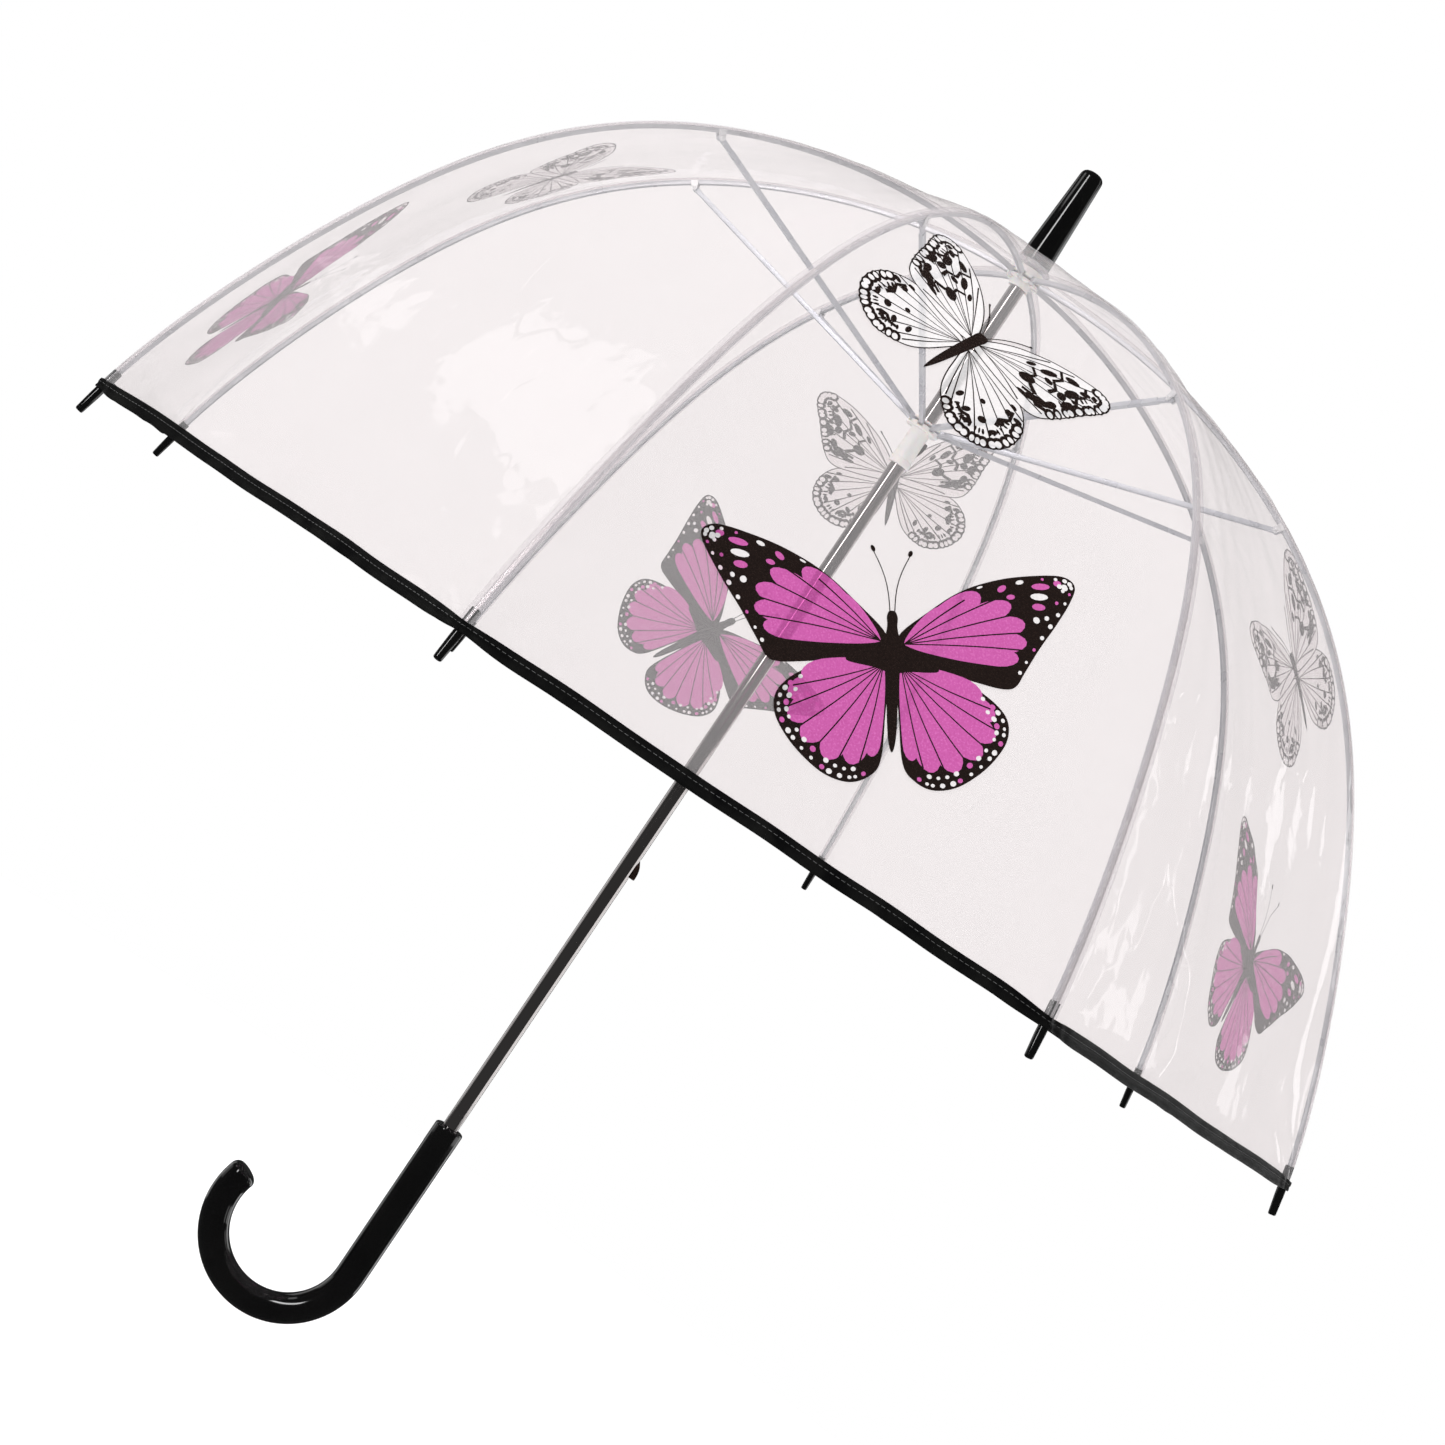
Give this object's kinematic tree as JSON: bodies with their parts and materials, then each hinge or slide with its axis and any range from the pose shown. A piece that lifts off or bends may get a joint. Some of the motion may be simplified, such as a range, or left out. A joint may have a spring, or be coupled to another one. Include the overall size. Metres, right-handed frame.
{
  "type": "dome umbrella",
  "caption": "Clear dome umbrella, open: a deep see-through canopy printed with butterflies, black hem and tips, steel ribs and stretchers, sliding runner and black crook handle.",
  "frame": {"origin": "on the shaft's axis at the handle's top face, where the hand holds it", "axes": "+Z along the shaft to the ferrule; the handle's hook points to -X"},
  "size_m": [0.815, 0.815, 0.8579],
  "materials": {
    "chrome_tube": "polished chromed steel tube",
    "rib_steel": "bright zinc-plated steel channel",
    "wire": "bright steel tie wire",
    "brown_steel": "dark brown spring steel",
    "black_gloss": "glossy black moulded plastic",
    "white_plastic": "translucent white moulded plastic",
    "clear_plastic": "clear moulded plastic",
    "clear_film": "clear soft film with a faint milky tint, black hem tape at its edge"
  },
  "bodies": {
    "stem": {"shaft": "chrome_tube", "handle": "black_gloss", "ferrule": "black_gloss", "cap_washer": "clear_plastic", "crown_notch": "white_plastic", "crown_wire": "wire"},
    "runner_body": {"runner": "white_plastic", "runner_wire": "wire"},
    "top_catch_body": {"top_catch": "brown_steel"},
    "bottom_catch_body": {"bottom_catch": "brown_steel"},
    "rib_inner_1_body": {"rib_inner_1": "rib_steel"},
    "rib_outer_1_body": {"rib_outer_1": "rib_steel", "tip_1": "black_gloss"},
    "stretcher_1_body": {"stretcher_1": "rib_steel"},
    "gore_inner_1_body": {"gore_inner_1": "clear_film"},
    "gore_outer_1_body": {"gore_outer_1": "clear_film"},
    "rib_inner_2_body": {"rib_inner_2": "rib_steel"},
    "rib_outer_2_body": {"rib_outer_2": "rib_steel", "tip_2": "black_gloss"},
    "stretcher_2_body": {"stretcher_2": "rib_steel"},
    "gore_inner_2_body": {"gore_inner_2": "clear_film"},
    "gore_outer_2_body": {"gore_outer_2": "clear_film"},
    "rib_inner_3_body": {"rib_inner_3": "rib_steel"},
    "rib_outer_3_body": {"rib_outer_3": "rib_steel", "tip_3": "black_gloss"},
    "stretcher_3_body": {"stretcher_3": "rib_steel"},
    "gore_inner_3_body": {"gore_inner_3": "clear_film"},
    "gore_outer_3_body": {"gore_outer_3": "clear_film"},
    "rib_inner_4_body": {"rib_inner_4": "rib_steel"},
    "rib_outer_4_body": {"rib_outer_4": "rib_steel", "tip_4": "black_gloss"},
    "stretcher_4_body": {"stretcher_4": "rib_steel"},
    "gore_inner_4_body": {"gore_inner_4": "clear_film"},
    "gore_outer_4_body": {"gore_outer_4": "clear_film"},
    "rib_inner_5_body": {"rib_inner_5": "rib_steel"},
    "rib_outer_5_body": {"rib_outer_5": "rib_steel", "tip_5": "black_gloss"},
    "stretcher_5_body": {"stretcher_5": "rib_steel"},
    "gore_inner_5_body": {"gore_inner_5": "clear_film"},
    "gore_outer_5_body": {"gore_outer_5": "clear_film"},
    "rib_inner_6_body": {"rib_inner_6": "rib_steel"},
    "rib_outer_6_body": {"rib_outer_6": "rib_steel", "tip_6": "black_gloss"},
    "stretcher_6_body": {"stretcher_6": "rib_steel"},
    "gore_inner_6_body": {"gore_inner_6": "clear_film"},
    "gore_outer_6_body": {"gore_outer_6": "clear_film"},
    "rib_inner_7_body": {"rib_inner_7": "rib_steel"},
    "rib_outer_7_body": {"rib_outer_7": "rib_steel", "tip_7": "black_gloss"},
    "stretcher_7_body": {"stretcher_7": "rib_steel"},
    "gore_inner_7_body": {"gore_inner_7": "clear_film"},
    "gore_outer_7_body": {"gore_outer_7": "clear_film"},
    "rib_inner_8_body": {"rib_inner_8": "rib_steel"},
    "rib_outer_8_body": {"rib_outer_8": "rib_steel", "tip_8": "black_gloss"},
    "stretcher_8_body": {"stretcher_8": "rib_steel"},
    "gore_inner_8_body": {"gore_inner_8": "clear_film"},
    "gore_outer_8_body": {"gore_outer_8": "clear_film"}
  },
  "joints": [
    {"name": "canopy_fold", "type": "hinge", "parent": "stem", "child": "rib_inner_1_body", "pos_m": [-0.00253, -0.00843, 0.6195], "axis": [0.9578, -0.2874, 0], "range_deg": [0, 62], "deforming": ["gore_inner_1", "gore_outer_1", "gore_inner_2", "gore_outer_2", "gore_inner_3", "gore_outer_3", "gore_inner_4", "gore_outer_4", "gore_inner_5", "gore_outer_5", "gore_inner_6", "gore_outer_6", "gore_inner_7", "gore_outer_7", "gore_inner_8", "gore_outer_8", "top_catch", "bottom_catch"]},
    {"name": "rib_flex_1", "type": "hinge", "parent": "rib_inner_1_body", "child": "rib_outer_1_body", "pos_m": [-0.08856, -0.29518, 0.4894], "axis": [0.9578, -0.2874, 0], "range_deg": [-37.57, 0]},
    {"name": "stretcher_swing_1", "type": "hinge", "parent": "rib_inner_1_body", "child": "stretcher_1_body", "pos_m": [-0.0612, -0.204, 0.56546], "axis": [0.9578, -0.2874, 0], "range_deg": [-124, 0]},
    {"name": "gore_fold_1", "type": "hinge", "parent": "stem", "child": "gore_inner_1_body", "pos_m": [0.00112, -0.01103, 0.623], "axis": [0.9949, 0.1011, 0], "range_deg": [0, 58.71]},
    {"name": "gore_flex_1", "type": "hinge", "parent": "gore_inner_1_body", "child": "gore_outer_1_body", "pos_m": [0.02906, -0.28607, 0.49197], "axis": [0.9949, 0.1011, 0], "range_deg": [-35.96, 0]},
    {"name": "rib_fold_2", "type": "hinge", "parent": "stem", "child": "rib_inner_2_body", "pos_m": [0.00417, -0.00775, 0.6195], "axis": [0.8805, 0.4741, 0], "range_deg": [0, 62]},
    {"name": "rib_flex_2", "type": "hinge", "parent": "rib_inner_2_body", "child": "rib_outer_2_body", "pos_m": [0.1461, -0.27134, 0.4894], "axis": [0.8805, 0.4741, 0], "range_deg": [-37.57, 0]},
    {"name": "stretcher_swing_2", "type": "hinge", "parent": "rib_inner_2_body", "child": "stretcher_2_body", "pos_m": [0.10097, -0.18752, 0.56546], "axis": [0.8805, 0.4741, 0], "range_deg": [-124, 0]},
    {"name": "gore_fold_2", "type": "hinge", "parent": "stem", "child": "gore_inner_2_body", "pos_m": [0.00859, -0.00701, 0.623], "axis": [0.632, 0.7749, 0], "range_deg": [0, 58.71]},
    {"name": "gore_flex_2", "type": "hinge", "parent": "gore_inner_2_body", "child": "gore_outer_2_body", "pos_m": [0.22283, -0.18174, 0.49197], "axis": [0.632, 0.7749, 0], "range_deg": [-35.96, 0]},
    {"name": "rib_fold_3", "type": "hinge", "parent": "stem", "child": "rib_inner_3_body", "pos_m": [0.00843, -0.00253, 0.6195], "axis": [0.2874, 0.9578, 0], "range_deg": [0, 62]},
    {"name": "rib_flex_3", "type": "hinge", "parent": "rib_inner_3_body", "child": "rib_outer_3_body", "pos_m": [0.29518, -0.08856, 0.4894], "axis": [0.2874, 0.9578, 0], "range_deg": [-37.57, 0]},
    {"name": "stretcher_swing_3", "type": "hinge", "parent": "rib_inner_3_body", "child": "stretcher_3_body", "pos_m": [0.204, -0.0612, 0.56546], "axis": [0.2874, 0.9578, 0], "range_deg": [-124, 0]},
    {"name": "gore_fold_3", "type": "hinge", "parent": "stem", "child": "gore_inner_3_body", "pos_m": [0.01103, 0.00112, 0.623], "axis": [-0.1011, 0.9949, 0], "range_deg": [0, 58.71]},
    {"name": "gore_flex_3", "type": "hinge", "parent": "gore_inner_3_body", "child": "gore_outer_3_body", "pos_m": [0.28607, 0.02906, 0.49197], "axis": [-0.1011, 0.9949, 0], "range_deg": [-35.96, 0]},
    {"name": "rib_fold_4", "type": "hinge", "parent": "stem", "child": "rib_inner_4_body", "pos_m": [0.00775, 0.00417, 0.6195], "axis": [-0.4741, 0.8805, 0], "range_deg": [0, 62]},
    {"name": "rib_flex_4", "type": "hinge", "parent": "rib_inner_4_body", "child": "rib_outer_4_body", "pos_m": [0.27134, 0.1461, 0.4894], "axis": [-0.4741, 0.8805, 0], "range_deg": [-37.57, 0]},
    {"name": "stretcher_swing_4", "type": "hinge", "parent": "rib_inner_4_body", "child": "stretcher_4_body", "pos_m": [0.18752, 0.10097, 0.56546], "axis": [-0.4741, 0.8805, 0], "range_deg": [-124, 0]},
    {"name": "gore_fold_4", "type": "hinge", "parent": "stem", "child": "gore_inner_4_body", "pos_m": [0.00701, 0.00859, 0.623], "axis": [-0.7749, 0.632, 0], "range_deg": [0, 58.71]},
    {"name": "gore_flex_4", "type": "hinge", "parent": "gore_inner_4_body", "child": "gore_outer_4_body", "pos_m": [0.18174, 0.22283, 0.49197], "axis": [-0.7749, 0.632, 0], "range_deg": [-35.96, 0]},
    {"name": "rib_fold_5", "type": "hinge", "parent": "stem", "child": "rib_inner_5_body", "pos_m": [0.00253, 0.00843, 0.6195], "axis": [-0.9578, 0.2874, 0], "range_deg": [0, 62]},
    {"name": "rib_flex_5", "type": "hinge", "parent": "rib_inner_5_body", "child": "rib_outer_5_body", "pos_m": [0.08856, 0.29518, 0.4894], "axis": [-0.9578, 0.2874, 0], "range_deg": [-37.57, 0]},
    {"name": "stretcher_swing_5", "type": "hinge", "parent": "rib_inner_5_body", "child": "stretcher_5_body", "pos_m": [0.0612, 0.204, 0.56546], "axis": [-0.9578, 0.2874, 0], "range_deg": [-124, 0]},
    {"name": "gore_fold_5", "type": "hinge", "parent": "stem", "child": "gore_inner_5_body", "pos_m": [-0.00112, 0.01103, 0.623], "axis": [-0.9949, -0.1011, 0], "range_deg": [0, 58.71]},
    {"name": "gore_flex_5", "type": "hinge", "parent": "gore_inner_5_body", "child": "gore_outer_5_body", "pos_m": [-0.02906, 0.28607, 0.49197], "axis": [-0.9949, -0.1011, 0], "range_deg": [-35.96, 0]},
    {"name": "rib_fold_6", "type": "hinge", "parent": "stem", "child": "rib_inner_6_body", "pos_m": [-0.00417, 0.00775, 0.6195], "axis": [-0.8805, -0.4741, 0], "range_deg": [0, 62]},
    {"name": "rib_flex_6", "type": "hinge", "parent": "rib_inner_6_body", "child": "rib_outer_6_body", "pos_m": [-0.1461, 0.27134, 0.4894], "axis": [-0.8805, -0.4741, 0], "range_deg": [-37.57, 0]},
    {"name": "stretcher_swing_6", "type": "hinge", "parent": "rib_inner_6_body", "child": "stretcher_6_body", "pos_m": [-0.10097, 0.18752, 0.56546], "axis": [-0.8805, -0.4741, 0], "range_deg": [-124, 0]},
    {"name": "gore_fold_6", "type": "hinge", "parent": "stem", "child": "gore_inner_6_body", "pos_m": [-0.00859, 0.00701, 0.623], "axis": [-0.632, -0.7749, 0], "range_deg": [0, 58.71]},
    {"name": "gore_flex_6", "type": "hinge", "parent": "gore_inner_6_body", "child": "gore_outer_6_body", "pos_m": [-0.22283, 0.18174, 0.49197], "axis": [-0.632, -0.7749, 0], "range_deg": [-35.96, 0]},
    {"name": "rib_fold_7", "type": "hinge", "parent": "stem", "child": "rib_inner_7_body", "pos_m": [-0.00843, 0.00253, 0.6195], "axis": [-0.2874, -0.9578, 0], "range_deg": [0, 62]},
    {"name": "rib_flex_7", "type": "hinge", "parent": "rib_inner_7_body", "child": "rib_outer_7_body", "pos_m": [-0.29518, 0.08856, 0.4894], "axis": [-0.2874, -0.9578, 0], "range_deg": [-37.57, 0]},
    {"name": "stretcher_swing_7", "type": "hinge", "parent": "rib_inner_7_body", "child": "stretcher_7_body", "pos_m": [-0.204, 0.0612, 0.56546], "axis": [-0.2874, -0.9578, 0], "range_deg": [-124, 0]},
    {"name": "gore_fold_7", "type": "hinge", "parent": "stem", "child": "gore_inner_7_body", "pos_m": [-0.01103, -0.00112, 0.623], "axis": [0.1011, -0.9949, 0], "range_deg": [0, 58.71]},
    {"name": "gore_flex_7", "type": "hinge", "parent": "gore_inner_7_body", "child": "gore_outer_7_body", "pos_m": [-0.28607, -0.02906, 0.49197], "axis": [0.1011, -0.9949, 0], "range_deg": [-35.96, 0]},
    {"name": "rib_fold_8", "type": "hinge", "parent": "stem", "child": "rib_inner_8_body", "pos_m": [-0.00775, -0.00417, 0.6195], "axis": [0.4741, -0.8805, 0], "range_deg": [0, 62]},
    {"name": "rib_flex_8", "type": "hinge", "parent": "rib_inner_8_body", "child": "rib_outer_8_body", "pos_m": [-0.27134, -0.1461, 0.4894], "axis": [0.4741, -0.8805, 0], "range_deg": [-37.57, 0]},
    {"name": "stretcher_swing_8", "type": "hinge", "parent": "rib_inner_8_body", "child": "stretcher_8_body", "pos_m": [-0.18752, -0.10097, 0.56546], "axis": [0.4741, -0.8805, 0], "range_deg": [-124, 0]},
    {"name": "gore_fold_8", "type": "hinge", "parent": "stem", "child": "gore_inner_8_body", "pos_m": [-0.00701, -0.00859, 0.623], "axis": [0.7749, -0.632, 0], "range_deg": [0, 58.71]},
    {"name": "gore_flex_8", "type": "hinge", "parent": "gore_inner_8_body", "child": "gore_outer_8_body", "pos_m": [-0.18174, -0.22283, 0.49197], "axis": [0.7749, -0.632, 0], "range_deg": [-35.96, 0]},
    {"name": "runner_carry", "type": "hinge", "parent": "stretcher_1_body", "child": "runner_body", "pos_m": [-0.00253, -0.00843, 0.51143], "axis": [0.9578, -0.2874, 0], "range_deg": [0, 62]},
    {"name": "top_catch_press", "type": "hinge", "parent": "stem", "child": "top_catch_body", "pos_m": [0.001, 0, 0.4907], "axis": [0, -1, 0], "range_deg": [0, 16], "stiffness_Nm_per_rad": 0.05},
    {"name": "bottom_catch_press", "type": "hinge", "parent": "stem", "child": "bottom_catch_body", "pos_m": [0.001, 0, 0.19638], "axis": [0, 1, 0], "range_deg": [0, 16], "stiffness_Nm_per_rad": 0.05}
  ],
  "couplings": [
    {"joint": "rib_flex_1", "follows": "canopy_fold", "ratio": -0.606},
    {"joint": "stretcher_swing_1", "follows": "canopy_fold", "ratio": -2},
    {"joint": "gore_fold_1", "follows": "canopy_fold", "ratio": 0.947},
    {"joint": "gore_flex_1", "follows": "canopy_fold", "ratio": -0.58},
    {"joint": "rib_fold_2", "follows": "canopy_fold", "ratio": 1},
    {"joint": "rib_flex_2", "follows": "canopy_fold", "ratio": -0.606},
    {"joint": "stretcher_swing_2", "follows": "canopy_fold", "ratio": -2},
    {"joint": "gore_fold_2", "follows": "canopy_fold", "ratio": 0.947},
    {"joint": "gore_flex_2", "follows": "canopy_fold", "ratio": -0.58},
    {"joint": "rib_fold_3", "follows": "canopy_fold", "ratio": 1},
    {"joint": "rib_flex_3", "follows": "canopy_fold", "ratio": -0.606},
    {"joint": "stretcher_swing_3", "follows": "canopy_fold", "ratio": -2},
    {"joint": "gore_fold_3", "follows": "canopy_fold", "ratio": 0.947},
    {"joint": "gore_flex_3", "follows": "canopy_fold", "ratio": -0.58},
    {"joint": "rib_fold_4", "follows": "canopy_fold", "ratio": 1},
    {"joint": "rib_flex_4", "follows": "canopy_fold", "ratio": -0.606},
    {"joint": "stretcher_swing_4", "follows": "canopy_fold", "ratio": -2},
    {"joint": "gore_fold_4", "follows": "canopy_fold", "ratio": 0.947},
    {"joint": "gore_flex_4", "follows": "canopy_fold", "ratio": -0.58},
    {"joint": "rib_fold_5", "follows": "canopy_fold", "ratio": 1},
    {"joint": "rib_flex_5", "follows": "canopy_fold", "ratio": -0.606},
    {"joint": "stretcher_swing_5", "follows": "canopy_fold", "ratio": -2},
    {"joint": "gore_fold_5", "follows": "canopy_fold", "ratio": 0.947},
    {"joint": "gore_flex_5", "follows": "canopy_fold", "ratio": -0.58},
    {"joint": "rib_fold_6", "follows": "canopy_fold", "ratio": 1},
    {"joint": "rib_flex_6", "follows": "canopy_fold", "ratio": -0.606},
    {"joint": "stretcher_swing_6", "follows": "canopy_fold", "ratio": -2},
    {"joint": "gore_fold_6", "follows": "canopy_fold", "ratio": 0.947},
    {"joint": "gore_flex_6", "follows": "canopy_fold", "ratio": -0.58},
    {"joint": "rib_fold_7", "follows": "canopy_fold", "ratio": 1},
    {"joint": "rib_flex_7", "follows": "canopy_fold", "ratio": -0.606},
    {"joint": "stretcher_swing_7", "follows": "canopy_fold", "ratio": -2},
    {"joint": "gore_fold_7", "follows": "canopy_fold", "ratio": 0.947},
    {"joint": "gore_flex_7", "follows": "canopy_fold", "ratio": -0.58},
    {"joint": "rib_fold_8", "follows": "canopy_fold", "ratio": 1},
    {"joint": "rib_flex_8", "follows": "canopy_fold", "ratio": -0.606},
    {"joint": "stretcher_swing_8", "follows": "canopy_fold", "ratio": -2},
    {"joint": "gore_fold_8", "follows": "canopy_fold", "ratio": 0.947},
    {"joint": "gore_flex_8", "follows": "canopy_fold", "ratio": -0.58},
    {"joint": "runner_carry", "follows": "canopy_fold", "ratio": 1}
  ]
}
